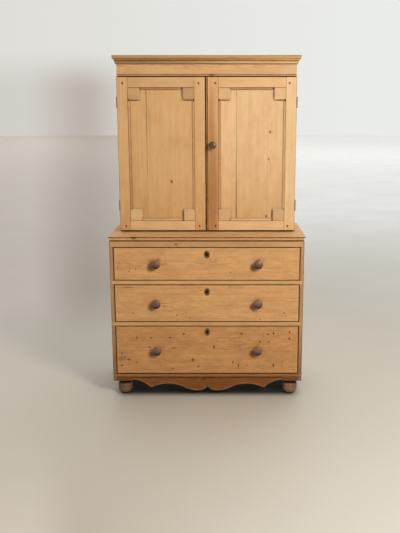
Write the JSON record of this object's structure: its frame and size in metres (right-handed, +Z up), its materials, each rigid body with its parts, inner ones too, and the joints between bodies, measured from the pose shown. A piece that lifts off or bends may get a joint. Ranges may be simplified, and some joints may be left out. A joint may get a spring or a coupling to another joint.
{
  "type": "linen press",
  "caption": "Waxed pine linen press: a chest of drawers on turned feet with a scalloped apron, and a panelled two-door cupboard with shelves on top.",
  "frame": {"origin": "on the floor, under the centre of the overall box, from the knobs' faces to the back boards", "axes": "+Z up, the doors and drawers face -Y, +X to the right seen from the front"},
  "size_m": [1.06, 0.546, 1.848],
  "materials": {
    "waxed_pine": "old waxed pine, satin",
    "bare_pine": "unfinished pine, dull",
    "stained_pine": "darker waxed pine, satin",
    "foot_wood": "worn turned wood, dull",
    "knob_wood": "dark handled wood, satin",
    "peg_wood": "dark end grain",
    "brass": "tarnished brass",
    "iron": "dark old iron"
  },
  "bodies": {
    "case": {"cupboard_side_left": "waxed_pine", "cupboard_side_right": "waxed_pine", "cupboard_top_board": "bare_pine", "cupboard_bottom_board": "bare_pine", "cupboard_back_boards": "bare_pine", "cupboard_shelves": "bare_pine", "shelf_battens": "bare_pine", "frieze_board": "waxed_pine", "cornice_moulding": "waxed_pine", "chest_side_left": "waxed_pine", "chest_side_right": "waxed_pine", "chest_top_board": "waxed_pine", "chest_back_boards": "bare_pine", "drawer_rails": "waxed_pine", "chest_bottom_board": "bare_pine", "drawer_runners_and_stops": "bare_pine", "apron": "stained_pine", "foot_blocks": "bare_pine", "turned_feet": "foot_wood", "hinge_case_leaves": "iron", "hinge_pins": "iron"},
    "left_door": {"left_door_stiles": "waxed_pine", "left_door_rails": "waxed_pine", "left_door_panel": "waxed_pine", "left_door_beads": "waxed_pine", "left_door_corner_blocks": "waxed_pine", "left_door_pegs": "peg_wood", "left_door_hinge_leaves": "iron", "left_door_bolt_plate": "iron"},
    "left_bolt": {"left_door_bolt": "iron"},
    "right_door": {"right_door_stiles": "waxed_pine", "right_door_rails": "waxed_pine", "right_door_panel": "waxed_pine", "right_door_beads": "waxed_pine", "right_door_corner_blocks": "waxed_pine", "right_door_pegs": "peg_wood", "right_door_hinge_leaves": "iron"},
    "turn_catch": {"turn_knob": "knob_wood", "turn_spindle": "iron"},
    "top_drawer": {"top_drawer_front": "waxed_pine", "top_drawer_sides_and_back": "bare_pine", "top_drawer_bottom": "bare_pine", "top_drawer_knobs": "knob_wood", "top_drawer_escutcheon": "brass", "top_drawer_lock": "iron"},
    "top_lock_bolt": {"top_drawer_lock_bolt": "iron"},
    "middle_drawer": {"middle_drawer_front": "waxed_pine", "middle_drawer_sides_and_back": "bare_pine", "middle_drawer_bottom": "bare_pine", "middle_drawer_knobs": "knob_wood", "middle_drawer_escutcheon": "brass", "middle_drawer_lock": "iron"},
    "middle_lock_bolt": {"middle_drawer_lock_bolt": "iron"},
    "bottom_drawer": {"bottom_drawer_front": "waxed_pine", "bottom_drawer_sides_and_back": "bare_pine", "bottom_drawer_bottom": "bare_pine", "bottom_drawer_knobs": "knob_wood", "bottom_drawer_escutcheon": "brass", "bottom_drawer_lock": "iron"},
    "bottom_lock_bolt": {"bottom_drawer_lock_bolt": "iron"}
  },
  "joints": [
    {"name": "right_door_hinge", "type": "hinge", "parent": "case", "child": "right_door", "pos_m": [0.4875, -0.0445, 1.323], "axis": [0, 0, 1], "range_deg": [0, 180]},
    {"name": "left_door_hinge", "type": "hinge", "parent": "case", "child": "left_door", "pos_m": [-0.4875, -0.0445, 1.323], "axis": [0, 0, -1], "range_deg": [0, 180]},
    {"name": "turn_catch_turn", "type": "hinge", "parent": "right_door", "child": "turn_catch", "pos_m": [0.031, -0.067, 1.376], "axis": [0, 1, 0], "range_deg": [0, 90]},
    {"name": "left_bolt_slide", "type": "slide", "parent": "left_door", "child": "left_bolt", "axis": [0, 0, 1], "range_m": [0, 0.015]},
    {"name": "top_drawer_slide", "type": "slide", "parent": "case", "child": "top_drawer", "axis": [0, -1, 0], "range_m": [0, 0.36]},
    {"name": "middle_drawer_slide", "type": "slide", "parent": "case", "child": "middle_drawer", "axis": [0, -1, 0], "range_m": [0, 0.36]},
    {"name": "bottom_drawer_slide", "type": "slide", "parent": "case", "child": "bottom_drawer", "axis": [0, -1, 0], "range_m": [0, 0.36]},
    {"name": "top_lock_bolt_slide", "type": "slide", "parent": "top_drawer", "child": "top_lock_bolt", "axis": [0, 0, 1], "range_m": [0, 0.008]},
    {"name": "middle_lock_bolt_slide", "type": "slide", "parent": "middle_drawer", "child": "middle_lock_bolt", "axis": [0, 0, 1], "range_m": [0, 0.008]},
    {"name": "bottom_lock_bolt_slide", "type": "slide", "parent": "bottom_drawer", "child": "bottom_lock_bolt", "axis": [0, 0, 1], "range_m": [0, 0.008]}
  ]
}
